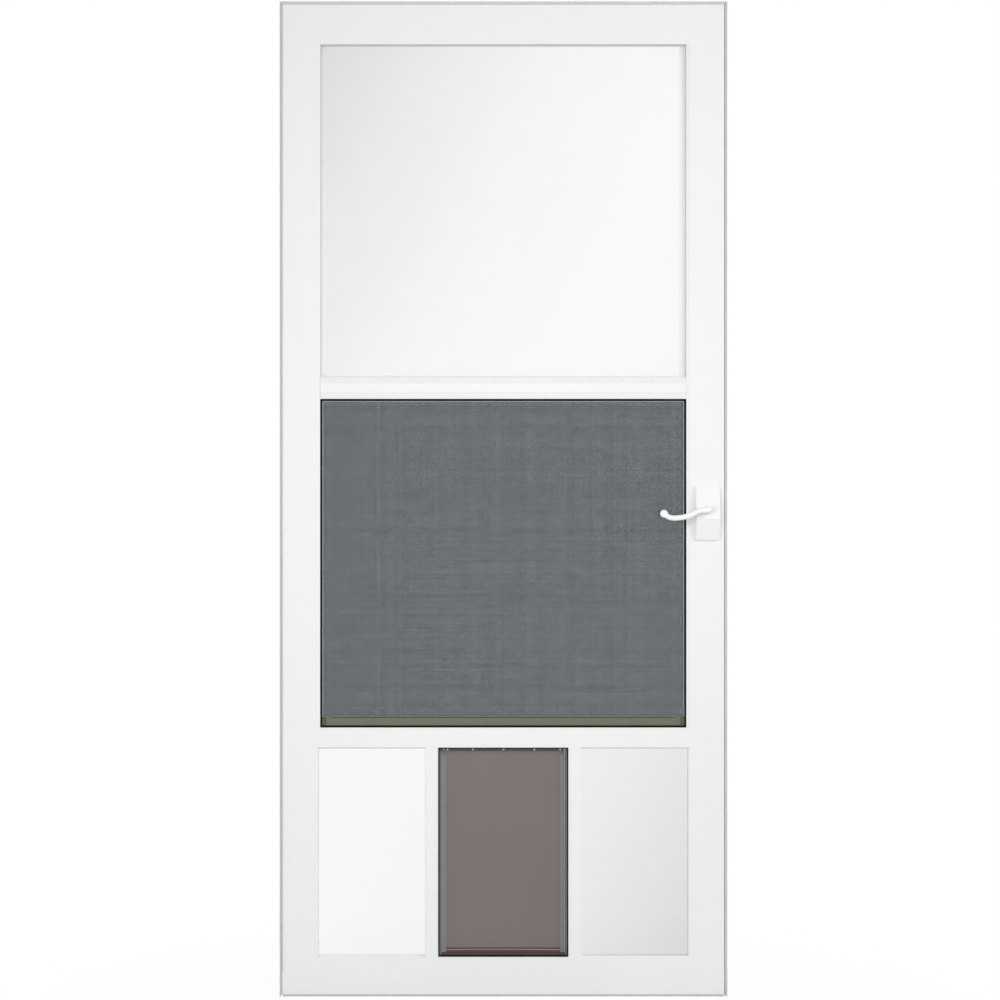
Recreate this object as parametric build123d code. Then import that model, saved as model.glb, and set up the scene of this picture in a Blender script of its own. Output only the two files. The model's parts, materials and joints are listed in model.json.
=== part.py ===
from build123d import *
from math import cos, radians, sin
import os

# Self-storing storm door: a slim jamb frame, an aluminium leaf with a fixed upper light, a raised
# vent sash, an insect screen, two lower panes and a pet flap, and a lever handle.
# Millimetres. X runs from the hinge jamb to the latch jamb, Y points indoors, Z points up.
# The origin is on the hinge jamb's outer face, at the sill, in the plane of the leaf's front.

# Whole door
frame_w = 914.0
frame_h = 2032.0
skin = 0.3                # gap where a moving piece closes on a fixed one
mitre_gap = 0.05

# Jambs
jamb_t = 1.4
jamb_back = 58.0
jamb_rib = 5.0
screw_r = 2.3
screw_y = 52.0
side_screw_z = 200.0
side_screw_step = 544.0
side_screw_count = 4
head_screw_x = 207.0
head_screw_step = 500.0
head_screw_count = 2

# Door stop and its seal
stop_t = 1.6
side_stop_w = 9.7
head_stop_w = 14.0
stop_foot = 10.0
seal_h = 3.5
seal_side_margin = 1.5

# Continuous hinge
barrel_r = 2.0
barrel_wall_t = 1.0
pin_r = 1.2
pin_fit = 0.06
barrel_forward = 3.2      # axis in front of the leaf's face
hinge_flap_d = 25.0
knuckle_count = 15
knuckle_gap = 0.3
hinge_end = 1.0

# Leaf
leaf_t = 30.0
wall = 1.6
latch_gap = 5.1
top_gap = 5.1
leaf_bottom = 22.0
stile_w = 72.3
side_channel = 14.0
top_rail_h = 81.2
cross_rail_z = 508.9
cross_rail_h = 40.8
bottom_rail_top = 82.3
rail_channel = 12.0
edge_r = 1.0

# Lower lights and pet opening
mullion_w = 26.0
mullion_channel = 9.0
pet_w = 264.9
glass_t = 3.2
glass_bite = 8.0
gasket_t = 2.0
gasket_show = 1.2
bead_wall = 1.4

# Upper light, sash and screen
track_show = 5.0
track_web = 1.6
front_groove_y = 4.0
front_groove_w = 10.6
finger_t = 1.6
groove_depth = 13.0
meeting_rail_z = 1220.6
meeting_rail_h = 45.0
meeting_rail_wall = 1.4
ridge_h = 1.2
ridge_w = 3.4
ridge_slope = 1.2
ridge_pitch = 4.4
ridge_count = 3
ridge_margin = 0.8
glazing_play = 1.0
glazing_show = 1.6
glazing_w = 8.0
sash_rail_w = 25.0
sash_rail_h = 11.8
sash_play = 0.4
sash_t = 8.6
sash_wall = 1.3
sash_sit = 6.2            # stored sash above the foot of the meeting rail
sash_head_play = 1.0
screen_bar_t = 8.0
screen_show = 4.3
mesh_t = 0.5
lift_rail_h = 18.0
lift_rail_t = 7.0
catch_w = 8.6

# Bottom expander and sweep
expander_t = 1.5
expander_bottom = 5.0
expander_top = 53.6
expander_bevel = 1.0
expander_back_cut = 6.0
sweep_drop = 4.2
sweep_end = 1.0
sweep_fin_t = 1.6
sweep_fins = 3

# Pet door
pet_frame_t = 2.2
pet_frame_lip = 1.0
clamp_h = 3.6
clamp_d = 12.0
flap_t = 4.0
flap_side_gap = 5.0
flap_bottom_gap = 5.0
flap_strip_w = 8.5
flap_strip_t = 1.0
flap_strip_drop = 8.0
flap_bar_h = 9.5
flap_bar_t = 1.6

# Handle and latch
spindle_backset = 34.2
spindle_z = 995.2
spindle_side = 6.4
spindle_grip = 14.0
spindle_hole_r = 5.6
plate_w = 48.6
plate_top = 1043.0
plate_h = 110.0
plate_edge_d = 8.0
plate_ridge_d = 24.0
plate_ridge_z = 976.0
plate_r = 3.5
plate_crest = 8.0
boss_r = 8.0
seam_w = 26.0
seam_h = 1.2
inner_plate_w = 28.0
inner_plate_d = 12.0
lever_stand = 22.0
lever_root_r = 6.6
lever_root_len = 17.0
lever_w = 10.4
lever_t = 10.0
lever_bevel = 2.6
lever_back_bevel = 1.0
lever_tip_r = 7.9
lever_tip_blend = 6.0
lever_root_blend = 9.0
lever_slopes = (9.0, 29.0, 0.0, -47.0)   # degrees below level: at the root, then after each bend
lever_bend_radii = (30.0, 92.0, 28.0)
lock_behind = 14.0
lock_h = 92.0
lock_t = 16.0
face_w = 20.0
face_h = 130.0
strike_t = 1.0
strike_w = 24.0
strike_h = 96.0
strike_slot_w = 10.0
strike_slot_h = 20.0

# Places worked out from the sizes above
hinge_x = jamb_t + barrel_r
hinge_y = -barrel_forward
jamb_front = hinge_y
leaf_x0 = jamb_t + 2 * barrel_r
leaf_x1 = frame_w - jamb_t - latch_gap
leaf_top = frame_h - jamb_t - top_gap
light_x0 = leaf_x0 + stile_w
light_x1 = leaf_x1 - stile_w
top_rail_z = leaf_top - top_rail_h
cross_rail_top = cross_rail_z + cross_rail_h
pet_mid = (leaf_x0 + leaf_x1) / 2
pet_x0 = pet_mid - pet_w / 2
pet_x1 = pet_mid + pet_w / 2
stop_y = leaf_t + skin + seal_h
mid_y = leaf_t / 2
spindle_x = leaf_x1 - spindle_backset
X, Y, Z = (1, 0, 0), (0, 1, 0), (0, 0, 1)


def block(x0, x1, y0, y1, z0, z1):
    """A straight bar or plate between two corners."""
    solid = Box(x1 - x0, y1 - y0, z1 - z0, align=(Align.MIN, Align.MIN, Align.MIN))
    return Pos(x0, y0, z0) * solid


def patch(u0, u1, v0, v1):
    """A flat rectangle between two corners, for building up a section."""
    face = Rectangle(u1 - u0, v1 - v0, align=(Align.MIN, Align.MIN))
    return Pos(u0, v0) * face


def run(section, start, across, length):
    """Extrude a section: its first axis points across, its second axis points indoors."""
    side = Vector(*across)
    seat = Plane(origin=start, x_dir=side, z_dir=side.cross(Vector(*Y)))
    return extrude(seat * section, length)


def rod(radius, start, along, length):
    """A round bar from a start point."""
    return extrude(Plane(origin=start, z_dir=along) * Circle(radius), length)


def mitred_bars(x0, x1, z0, z1, wide, y0, y1, tall=None, hollow=0.0, tube=0.0):
    """Four mitred bars round an opening: solid, or an open channel, or a closed tube."""
    tall = wide if tall is None else tall
    left, right, foot, head = x0 + wide, x1 - wide, z0 + tall, z1 - tall
    outlines = [
        [(x0, z0 + mitre_gap), (x0, z1 - mitre_gap), (left, head - mitre_gap), (left, foot + mitre_gap)],
        [(x1, z0 + mitre_gap), (x1, z1 - mitre_gap), (right, head - mitre_gap), (right, foot + mitre_gap)],
        [(x0 + mitre_gap, z0), (x1 - mitre_gap, z0), (right - mitre_gap, foot), (left + mitre_gap, foot)],
        [(x0 + mitre_gap, z1), (x1 - mitre_gap, z1), (right - mitre_gap, head), (left + mitre_gap, head)],
    ]
    core = None
    if hollow:
        core = block(x0 - 1, x1 + 1, y0 + hollow, y1 - hollow, z0 - 1, z1 + 1)
        core -= block(left - hollow, right + hollow, y0, y1, foot - hollow, head + hollow)
    if tube:
        core = block(x0 + tube, x1 - tube, y0 + tube, y1 - tube, z0 + tube, z1 - tube)
        core -= block(left - tube, right + tube, y0, y1, foot - tube, head + tube)
    bars = []
    for outline in outlines:
        face = make_face(Polyline(*[(x, y0, z) for x, z in outline], close=True))
        bar = extrude(face, y1 - y0, dir=Y)
        bars.append(bar - core if core else bar)
    return bars


def channel_section(width, channel):
    """Hollow aluminium section with a glazing channel on its far side."""
    section = patch(0, width, 0, leaf_t)
    section = fillet(section.vertices().group_by(Axis.X)[0], edge_r)
    section -= patch(wall, width - channel - wall, wall, leaf_t - wall)
    section -= patch(width - channel, width + 1, wall, leaf_t - wall)
    return section


def jamb_section():
    """Web plate with a stiffening rib turned towards the opening at its indoor edge."""
    section = patch(0, jamb_t, jamb_front, jamb_back)
    section += patch(0, jamb_rib, jamb_back - jamb_t, jamb_back)
    return section


def stop_section(width):
    """Angle that carries the seal: a flange facing the leaf and a foot along the jamb."""
    section = patch(jamb_t, jamb_t + width, stop_y, stop_y + stop_t)
    section += patch(jamb_t, jamb_t + stop_t, stop_y, stop_y + stop_foot)
    return section


def seal_section(width):
    """Soft strip with a rounded nose towards the leaf."""
    section = patch(jamb_t + seal_side_margin, jamb_t + width, stop_y - seal_h, stop_y)
    return fillet(section.vertices().group_by(Axis.Y)[0], seal_h * 0.4)


def build_jambs():
    """Side jambs at full height and the head jamb between them, all drilled for screws."""
    hinge_jamb = run(jamb_section(), (0, 0, 0), X, frame_h)
    latch_jamb = run(jamb_section(), (frame_w, 0, frame_h), (-1, 0, 0), frame_h)
    head_jamb = run(jamb_section(), (0, 0, frame_h), (0, 0, -1), frame_w)
    head_jamb -= block(-1, jamb_rib, jamb_front - 1, jamb_back + 1, 0, frame_h + 1)
    head_jamb -= block(frame_w - jamb_rib, frame_w + 1, jamb_front - 1, jamb_back + 1, 0, frame_h + 1)
    head_jamb += block(jamb_t, jamb_rib, jamb_front, jamb_back - jamb_t, frame_h - jamb_t, frame_h)
    head_jamb += block(frame_w - jamb_rib, frame_w - jamb_t, jamb_front, jamb_back - jamb_t, frame_h - jamb_t, frame_h)
    for step in range(side_screw_count):
        drill = rod(screw_r, (-1, screw_y, side_screw_z + step * side_screw_step), X, frame_w + 2)
        hinge_jamb -= drill
        latch_jamb -= drill
    for step in range(head_screw_count):
        head_jamb -= rod(screw_r, (head_screw_x + step * head_screw_step, screw_y, frame_h - 10), Z, 20)
    return {"hinge_jamb": hinge_jamb, "latch_jamb": latch_jamb, "head_jamb": head_jamb}


def build_stops():
    """Stops on three sides and the seals on their fronts; none of the lengths touch."""
    side_h = frame_h - jamb_t
    head_x0 = jamb_t + side_stop_w + skin
    head_run = frame_w - 2 * head_x0
    stops = [
        run(stop_section(side_stop_w), (0, 0, 0), X, side_h),
        run(stop_section(side_stop_w), (frame_w, 0, side_h), (-1, 0, 0), side_h),
        run(stop_section(head_stop_w), (head_x0, 0, frame_h), (0, 0, -1), head_run),
    ]
    seals = [
        run(seal_section(side_stop_w), (0, 0, 0), X, side_h - seal_side_margin),
        run(seal_section(side_stop_w), (frame_w, 0, side_h - seal_side_margin), (-1, 0, 0), side_h - seal_side_margin),
        run(seal_section(head_stop_w), (head_x0, 0, frame_h), (0, 0, -1), head_run),
    ]
    return {"door_stops": Compound(children=stops), "weather_seals": Compound(children=seals)}


def build_hinge():
    """Full-length hinge: knuckles taken in turn by the jamb's flap and the leaf's flap."""
    low = expander_bottom + hinge_end
    high = leaf_top - hinge_end
    pitch = (high - low) / knuckle_count
    flap_y0 = hinge_y + barrel_r + 2 * skin
    jamb_flap = block(jamb_t, jamb_t + barrel_wall_t, flap_y0, hinge_flap_d, low, high)
    leaf_flap = block(leaf_x0 - barrel_wall_t, leaf_x0, flap_y0, hinge_flap_d, low, high)
    barrel = Pos(hinge_x, hinge_y) * (Circle(barrel_r) - Circle(pin_r + pin_fit))
    for knuckle in range(knuckle_count):
        z0 = low + knuckle * pitch + knuckle_gap / 2
        z1 = z0 + pitch - knuckle_gap
        on_jamb = knuckle % 2 == 0
        tab_x = jamb_t if on_jamb else leaf_x0 - barrel_wall_t
        roll = barrel + patch(tab_x, tab_x + barrel_wall_t, hinge_y, flap_y0)
        roll -= Pos(hinge_x, hinge_y) * Circle(pin_r + pin_fit)
        roll = Pos(0, 0, z0) * extrude(roll, z1 - z0)
        if on_jamb:
            jamb_flap += roll
        else:
            leaf_flap += roll
    pin = rod(pin_r, (hinge_x, hinge_y, low), Z, high - low)
    return {"jamb_hinge_flap": jamb_flap, "leaf_hinge_flap": leaf_flap, "hinge_pin": pin}


def build_leaf_frame():
    """Stiles, rails and mullions, cut from hollow aluminium sections."""
    stile_h = leaf_top - leaf_bottom
    between = light_x1 - light_x0
    light_h = cross_rail_z - bottom_rail_top
    stile = channel_section(stile_w, side_channel)
    mullion = channel_section(mullion_w, mullion_channel)
    latch_stile = run(stile, (leaf_x1, 0, leaf_top), (-1, 0, 0), stile_h)
    latch_stile -= rod(spindle_hole_r, (spindle_x, -1, spindle_z), Y, leaf_t + 2)
    latch_stile -= block(
        leaf_x1 - wall, leaf_x1 + 1,
        mid_y - face_w / 2, mid_y + face_w / 2,
        spindle_z - face_h / 2, spindle_z + face_h / 2,
    )
    return {
        "hinge_stile": run(stile, (leaf_x0, 0, leaf_bottom), X, stile_h),
        "latch_stile": latch_stile,
        "top_rail": run(channel_section(top_rail_h, rail_channel), (light_x0, 0, leaf_top), (0, 0, -1), between),
        "cross_rail": run(channel_section(cross_rail_h, rail_channel), (light_x0, 0, cross_rail_top), (0, 0, -1), between),
        "bottom_rail": run(
            channel_section(bottom_rail_top - leaf_bottom, rail_channel), (light_x1, 0, leaf_bottom), Z, between
        ),
        "left_mullion": run(mullion, (pet_x0, 0, cross_rail_z), (-1, 0, 0), light_h),
        "right_mullion": run(mullion, (pet_x1, 0, bottom_rail_top), X, light_h),
    }


def build_lower_lights():
    """Each pane stands between a front gasket and a snap-in bead behind."""
    parts = {}
    gaskets = []
    glass_y = wall + gasket_t
    z0 = bottom_rail_top - glass_bite
    z1 = cross_rail_z + glass_bite
    sights = {"left": (light_x0, pet_x0 - mullion_w), "right": (pet_x1 + mullion_w, light_x1)}
    for side, (sight_x0, sight_x1) in sights.items():
        x0 = sight_x0 - glass_bite
        x1 = sight_x1 + glass_bite
        parts[f"{side}_pane"] = block(x0, x1, glass_y, glass_y + glass_t, z0, z1)
        gaskets += mitred_bars(x0, x1, z0, z1, glass_bite + gasket_show, wall, glass_y)
        bead = mitred_bars(
            x0, x1, z0, z1, glass_bite + bead_wall, glass_y + glass_t, leaf_t - wall, hollow=bead_wall
        )
        parts[f"{side}_pane_bead"] = Compound(children=bead)
    parts["lower_gaskets"] = Compound(children=gaskets)
    return parts


def track_section():
    """Side track: a web and three fingers that make a front and a rear groove."""
    depth = track_web + groove_depth
    rear_groove_y = front_groove_y + front_groove_w + finger_t
    section = patch(0, depth, wall, leaf_t - wall)
    section -= patch(track_web, depth + 1, front_groove_y, front_groove_y + front_groove_w)
    section -= patch(track_web, depth + 1, rear_groove_y, leaf_t - wall - finger_t)
    return section


def build_tracks(in_x0, in_x1):
    """The two side tracks, from the cross rail up into the top rail's channel."""
    depth = track_web + groove_depth
    head_z = top_rail_z + rail_channel
    length = head_z - cross_rail_top
    return {
        "left_track": run(track_section(), (in_x0 - depth, 0, cross_rail_top), X, length),
        "right_track": run(track_section(), (in_x1 + depth, 0, head_z), (-1, 0, 0), length),
    }


def build_upper_glass(in_x0, in_x1):
    """Fixed upper glass in its gasket, and the meeting rail that holds its lower edge."""
    rail_top = meeting_rail_z + meeting_rail_h
    back_y = front_groove_y + front_groove_w
    glazing_y0 = front_groove_y + glazing_play
    glazing_y1 = glazing_y0 + glass_t + 2 * gasket_t
    x0 = in_x0 + glazing_show - glazing_w
    x1 = in_x1 - glazing_show + glazing_w
    z0 = rail_top + glazing_show - glazing_w
    z1 = top_rail_z - glazing_show + glazing_w
    glass = block(
        x0 + glazing_show, x1 - glazing_show, glazing_y0 + gasket_t, glazing_y1 - gasket_t,
        z0 + glazing_show, z1 - glazing_show,
    )
    gasket = [bar - glass for bar in mitred_bars(x0, x1, z0, z1, glazing_w, glazing_y0, glazing_y1)]

    face_x0 = in_x0 + skin
    face_x1 = in_x1 - skin
    rail = block(face_x0, face_x1, 0, wall, meeting_rail_z, rail_top)
    body = block(face_x0, face_x1, wall, back_y, meeting_rail_z, rail_top)
    body -= block(
        0, frame_w, wall, back_y - meeting_rail_wall,
        meeting_rail_z + meeting_rail_wall, z0 - meeting_rail_wall,
    )
    body -= block(0, frame_w, glazing_y0, glazing_y1, z0, rail_top + 1)
    rail += body
    for step in range(ridge_count):
        low = meeting_rail_z + ridge_margin + step * ridge_pitch
        high = rail_top - ridge_margin - ridge_w - step * ridge_pitch
        for z in (low, high):
            outline = [(0, z), (-ridge_h, z + ridge_slope), (-ridge_h, z + ridge_w - ridge_slope), (0, z + ridge_w)]
            bead = make_face(Polyline(*[(face_x0, y, at) for y, at in outline], close=True))
            rail += extrude(bead, face_x1 - face_x0, dir=X)
    return {"upper_glass": glass, "upper_glass_gasket": Compound(children=gasket), "meeting_rail": rail}


def build_vent_sash(in_x0, in_x1):
    """Vent sash in the rear grooves, stored up behind the upper glass."""
    groove = groove_depth - sash_play
    y0 = front_groove_y + front_groove_w + finger_t + sash_play
    y1 = y0 + sash_t
    x0 = in_x0 - groove
    x1 = in_x1 + groove
    z0 = meeting_rail_z + sash_sit
    z1 = top_rail_z + rail_channel - sash_head_play
    side_bite = sash_rail_w - sash_wall - glass_bite
    rail_bite = sash_rail_h - sash_wall - glass_bite
    middle = (y0 + y1) / 2
    glass = block(
        x0 + side_bite, x1 - side_bite, middle - glass_t / 2, middle + glass_t / 2,
        z0 + rail_bite, z1 - rail_bite,
    )
    bars = mitred_bars(x0, x1, z0, z1, sash_rail_w, y0, y1, tall=sash_rail_h, tube=sash_wall)
    return {"vent_glass": glass, "vent_sash": Compound(children=[bar - glass for bar in bars])}


def build_screen(in_x0, in_x1):
    """Insect screen under the meeting rail: slim dark bars, mesh, lift rail and its two catches."""
    groove = groove_depth - sash_play
    y0 = front_groove_y + sash_play
    y1 = y0 + screen_bar_t
    x0 = in_x0 - groove
    x1 = in_x1 + groove
    wide = groove + screen_show
    z0 = cross_rail_top
    z1 = meeting_rail_z
    lift_z0 = z0 + screen_show
    lift_z1 = lift_z0 + lift_rail_h
    middle = (y0 + y1) / 2
    lift_y0 = middle - lift_rail_t / 2
    lift_y1 = middle + lift_rail_t / 2
    mesh_x0 = x0 + wide
    mesh_x1 = x1 - wide
    catches = [
        block(x, x + catch_w, lift_y0, lift_y1, lift_z0, lift_z1) for x in (mesh_x0, mesh_x1 - catch_w)
    ]
    return {
        "screen_frame": Compound(children=mitred_bars(x0, x1, z0, z1, wide, y0, y1, tall=screen_show)),
        "screen_mesh": block(mesh_x0, mesh_x1, middle - mesh_t / 2, middle + mesh_t / 2, lift_z1, z1 - screen_show),
        "screen_lift_rail": block(mesh_x0 + catch_w, mesh_x1 - catch_w, lift_y0, lift_y1, lift_z0, lift_z1),
        "screen_catches": Compound(children=catches),
    }


def build_upper_lights():
    """Everything in the upper opening, between the sight lines of the two tracks."""
    sights = (light_x0 + track_show, light_x1 - track_show)
    parts = {}
    for build in (build_tracks, build_upper_glass, build_vent_sash, build_screen):
        parts.update(build(*sights))
    return parts


def build_bottom():
    """Expander that slips over the foot of the leaf, notched past the stops, and its sweep."""
    inside = leaf_t + expander_t
    channel = block(leaf_x0, leaf_x1, -expander_t, inside, expander_bottom, expander_top)
    long_edges = channel.edges().filter_by(Axis.X)
    channel = chamfer(long_edges.group_by(Axis.Y)[0], expander_bevel)
    channel -= block(leaf_x0, leaf_x1, 0, leaf_t, expander_bottom + expander_t, expander_top)
    notch_x0 = jamb_t + side_stop_w + expander_back_cut
    notch_x1 = frame_w - notch_x0
    channel -= block(leaf_x0, notch_x0, leaf_t, inside, expander_bottom, expander_top)
    channel -= block(notch_x1, leaf_x1, leaf_t, inside, expander_bottom, expander_top)

    low = expander_bottom - sweep_drop
    sweep_x0 = leaf_x0 + sweep_end
    sweep_x1 = leaf_x1 - sweep_end
    sweep = block(sweep_x0, sweep_x1, wall, leaf_t - wall, expander_bottom - sweep_fin_t, expander_bottom)
    step = (leaf_t - 4 * wall) / (sweep_fins - 1)
    for fin in range(sweep_fins):
        y = 2 * wall + fin * step - sweep_fin_t / 2
        sweep += block(sweep_x0, sweep_x1, y, y + sweep_fin_t, low, expander_bottom - sweep_fin_t)
    return {"bottom_expander": channel, "bottom_sweep": sweep}


def build_pet_door():
    """Dark liner round the pet opening, the clamp bar at its head and the hanging flap."""
    liner = mitred_bars(
        pet_x0, pet_x1, bottom_rail_top, cross_rail_z, pet_frame_t, -pet_frame_lip, leaf_t + pet_frame_lip
    )
    in_x0 = pet_x0 + pet_frame_t
    in_x1 = pet_x1 - pet_frame_t
    head_z = cross_rail_z - pet_frame_t
    clamp = block(in_x0, in_x1, mid_y - clamp_d / 2, mid_y + clamp_d / 2, head_z - clamp_h, head_z)

    flap_x0 = in_x0 + flap_side_gap
    flap_x1 = in_x1 - flap_side_gap
    flap_z0 = bottom_rail_top + pet_frame_t + flap_bottom_gap
    nose = flap_t / 2
    pivot_z = head_z - clamp_h - skin - nose
    flap = block(flap_x0, flap_x1, mid_y - nose, mid_y + nose, flap_z0, pivot_z)
    flap += rod(nose, (flap_x0, mid_y, pivot_z), X, flap_x1 - flap_x0)
    strip_top = pivot_z - flap_strip_drop
    edges = []
    bars = []
    for face_y in (mid_y - nose - flap_strip_t, mid_y + nose):
        for x in (flap_x0, flap_x1 - flap_strip_w):
            edges.append(block(x, x + flap_strip_w, face_y, face_y + flap_strip_t, flap_z0, strip_top))
    for face_y in (mid_y - nose - flap_bar_t, mid_y + nose):
        bars.append(block(
            flap_x0 + flap_strip_w + skin, flap_x1 - flap_strip_w - skin,
            face_y, face_y + flap_bar_t, flap_z0, flap_z0 + flap_bar_h,
        ))
    return {
        "pet_door_liner": Compound(children=liner),
        "flap_clamp_bar": clamp,
        "flap_panel": flap,
        "flap_edge_strips": Compound(children=edges),
        "flap_bottom_bars": Compound(children=bars),
    }


def wedge_plate(width, depth, face_y, outward):
    """Escutcheon: thin at its ends, deepest at a ridge below the spindle, with a round boss."""
    low = plate_top - plate_h
    edge = min(plate_edge_d, depth)
    outline = [
        (0, low), (edge, low), (depth, plate_ridge_z), (depth, plate_ridge_z + plate_crest),
        (edge, plate_top), (0, plate_top),
    ]
    points = [(spindle_x - width / 2, face_y + outward * d, z) for d, z in outline]
    plate = extrude(make_face(Polyline(*points, close=True)), width, dir=X)
    frame = RectangleRounded(width, plate_h, plate_r)
    middle = Plane(origin=(spindle_x, face_y, plate_top - plate_h / 2), x_dir=X, z_dir=(0, outward, 0))
    plate &= extrude(middle * frame, depth)
    return plate + rod(boss_r, (spindle_x, face_y, spindle_z), (0, outward, 0), depth)


def level_pair(slope):
    """Unit vectors along and across the lever, for a slope in degrees below level."""
    heading = Vector(-cos(radians(slope)), -sin(radians(slope)))
    return heading, Vector(heading.Y, -heading.X)


def lever_outline():
    """Front view of the lever about its spindle: round root, taper, three bends and a round tip."""
    heading, lift = level_pair(lever_slopes[0])
    half = lever_w / 2
    at = heading * lever_root_len
    outline = Circle(lever_root_r)
    outline += make_face(Polyline(
        lift * lever_root_r, at + lift * half, at - lift * half, lift * -lever_root_r, close=True
    ))
    for slope, after, bend_r in zip(lever_slopes, lever_slopes[1:], lever_bend_radii):
        side = 1 if after < slope else -1
        centre = at + level_pair(slope)[1] * (side * bend_r)
        sweep_from = slope - 90 * side
        outer = CenterArc(centre, bend_r + half, sweep_from, after - slope)
        inner = CenterArc(centre, bend_r - half, sweep_from, after - slope)
        outline += make_face([outer, inner, Line(outer @ 0, inner @ 0), Line(outer @ 1, inner @ 1)])
        at = centre - level_pair(after)[1] * (side * bend_r)
    outline += Pos(at.X, at.Y) * Circle(lever_tip_r)
    by_tip = sorted(outline.vertices(), key=lambda v: (Vector(v.X, v.Y) - at).length)
    outline = fillet(by_tip[:2], lever_tip_blend)
    by_root = sorted(outline.vertices(), key=lambda v: Vector(v.X, v.Y).length)
    return fillet(by_root[:4], lever_root_blend)


def lever(face_y, outward):
    """Lever of one side: a neck on the spindle and the bevelled bar in front of it."""
    middle = face_y + outward * lever_stand
    seat = Plane(origin=(spindle_x, middle + lever_t / 2, spindle_z), x_dir=X, z_dir=(0, -1, 0))
    bar = extrude(seat * lever_outline(), lever_t)
    front = 0 if outward < 0 else -1
    bar = chamfer(bar.faces().sort_by(Axis.Y)[front].edges(), lever_bevel)
    bar = chamfer(bar.faces().sort_by(Axis.Y)[-1 - front].edges(), lever_back_bevel)
    neck_y = face_y + outward * skin
    return bar + rod(lever_root_r, (spindle_x, neck_y, spindle_z), (0, outward, 0), lever_stand - skin)


def build_handle():
    """Escutcheons on both faces, levers on one square spindle, lock case and strike."""
    outer_hub_y = -plate_ridge_d
    inner_hub_y = leaf_t + inner_plate_d
    bore_x = (spindle_x, -lever_stand * 2, spindle_z)
    drill = rod(spindle_hole_r, bore_x, Y, leaf_t + 4 * lever_stand)
    outer = wedge_plate(plate_w, plate_ridge_d, 0, -1)
    outer -= block(
        spindle_x - seam_w / 2, spindle_x + seam_w / 2,
        -plate_ridge_d, 1 - plate_ridge_d, plate_ridge_z, plate_ridge_z + seam_h,
    )
    inner = wedge_plate(inner_plate_w, inner_plate_d, leaf_t, 1)

    lock_x1 = leaf_x1 - wall
    lock = block(
        spindle_x - lock_behind, lock_x1, mid_y - lock_t / 2, mid_y + lock_t / 2,
        spindle_z - lock_h / 2, spindle_z + lock_h / 2,
    )
    lock += block(
        lock_x1, leaf_x1, mid_y - face_w / 2, mid_y + face_w / 2,
        spindle_z - face_h / 2, spindle_z + face_h / 2,
    )
    strike_x1 = frame_w - jamb_t
    strike = block(
        strike_x1 - strike_t, strike_x1, mid_y - strike_w / 2, mid_y + strike_w / 2,
        spindle_z - strike_h / 2, spindle_z + strike_h / 2,
    )
    strike -= block(
        strike_x1 - 2 * strike_t, strike_x1 + 1, mid_y - strike_slot_w / 2, mid_y + strike_slot_w / 2,
        spindle_z - strike_slot_h / 2, spindle_z + strike_slot_h / 2,
    )
    spindle = block(
        spindle_x - spindle_side / 2, spindle_x + spindle_side / 2,
        outer_hub_y - spindle_grip, inner_hub_y + spindle_grip,
        spindle_z - spindle_side / 2, spindle_z + spindle_side / 2,
    )
    return {
        "outside_plate": outer - drill,
        "inside_plate": inner - drill,
        "lock_case": lock - drill,
        "strike_plate": strike,
        "outside_lever": lever(outer_hub_y, -1) - spindle,
        "inside_lever": lever(inner_hub_y, 1) - spindle,
        "spindle": spindle,
    }


nodes = {}
for build in (
    build_jambs, build_stops, build_hinge, build_leaf_frame, build_lower_lights,
    build_upper_lights, build_bottom, build_pet_door, build_handle,
):
    nodes.update(build())

os.makedirs("parts", exist_ok=True)
for name, solid in nodes.items():
    export_step(solid, f"parts/{name}.step")
print(len(nodes), "pieces written")
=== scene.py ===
# %% [markdown]
# # A white self-storing storm door
#
# The aluminium parts come from the CAD model, already at their true size and place. This
# script gives them their finishes, adds what is too fine for the CAD, such as the insect
# screen's weave, the screws and the pile strips, and sets up the light and the camera.

# %% Load the frame
import json
import math
import random

import bmesh
import bpy
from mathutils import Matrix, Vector


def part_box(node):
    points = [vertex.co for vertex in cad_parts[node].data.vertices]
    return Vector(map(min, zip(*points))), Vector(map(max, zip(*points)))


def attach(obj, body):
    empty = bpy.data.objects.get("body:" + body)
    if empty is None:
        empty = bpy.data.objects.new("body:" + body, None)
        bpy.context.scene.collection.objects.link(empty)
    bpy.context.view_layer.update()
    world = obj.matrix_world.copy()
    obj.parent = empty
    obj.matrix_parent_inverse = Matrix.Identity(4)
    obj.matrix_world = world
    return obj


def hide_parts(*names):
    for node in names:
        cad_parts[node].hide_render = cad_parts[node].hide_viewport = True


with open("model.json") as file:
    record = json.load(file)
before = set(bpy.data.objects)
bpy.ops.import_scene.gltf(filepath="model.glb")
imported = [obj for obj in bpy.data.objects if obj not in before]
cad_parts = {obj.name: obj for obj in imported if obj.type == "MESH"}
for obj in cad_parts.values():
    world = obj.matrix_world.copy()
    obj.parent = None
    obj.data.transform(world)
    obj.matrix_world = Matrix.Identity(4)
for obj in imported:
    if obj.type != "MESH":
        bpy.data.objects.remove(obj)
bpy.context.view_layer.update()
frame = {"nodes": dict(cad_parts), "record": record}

nodes = frame["nodes"]

# %% [markdown]
# ## Helpers for materials
#
# Every finish is a chain of shader nodes. Two small helpers keep the chains readable: one
# adds a node and sets its inputs, the other starts a material with its Principled shader.

# %% Node helpers
def add(tree, kind, **inputs):
    """Add a shader node; keyword names are properties or, with underscores for spaces, sockets."""
    node = tree.nodes.new("ShaderNode" + kind)
    for name, value in inputs.items():
        if hasattr(node, name):
            setattr(node, name, value)
        else:
            node.inputs[name.replace("_", " ")].default_value = value
    return node


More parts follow.
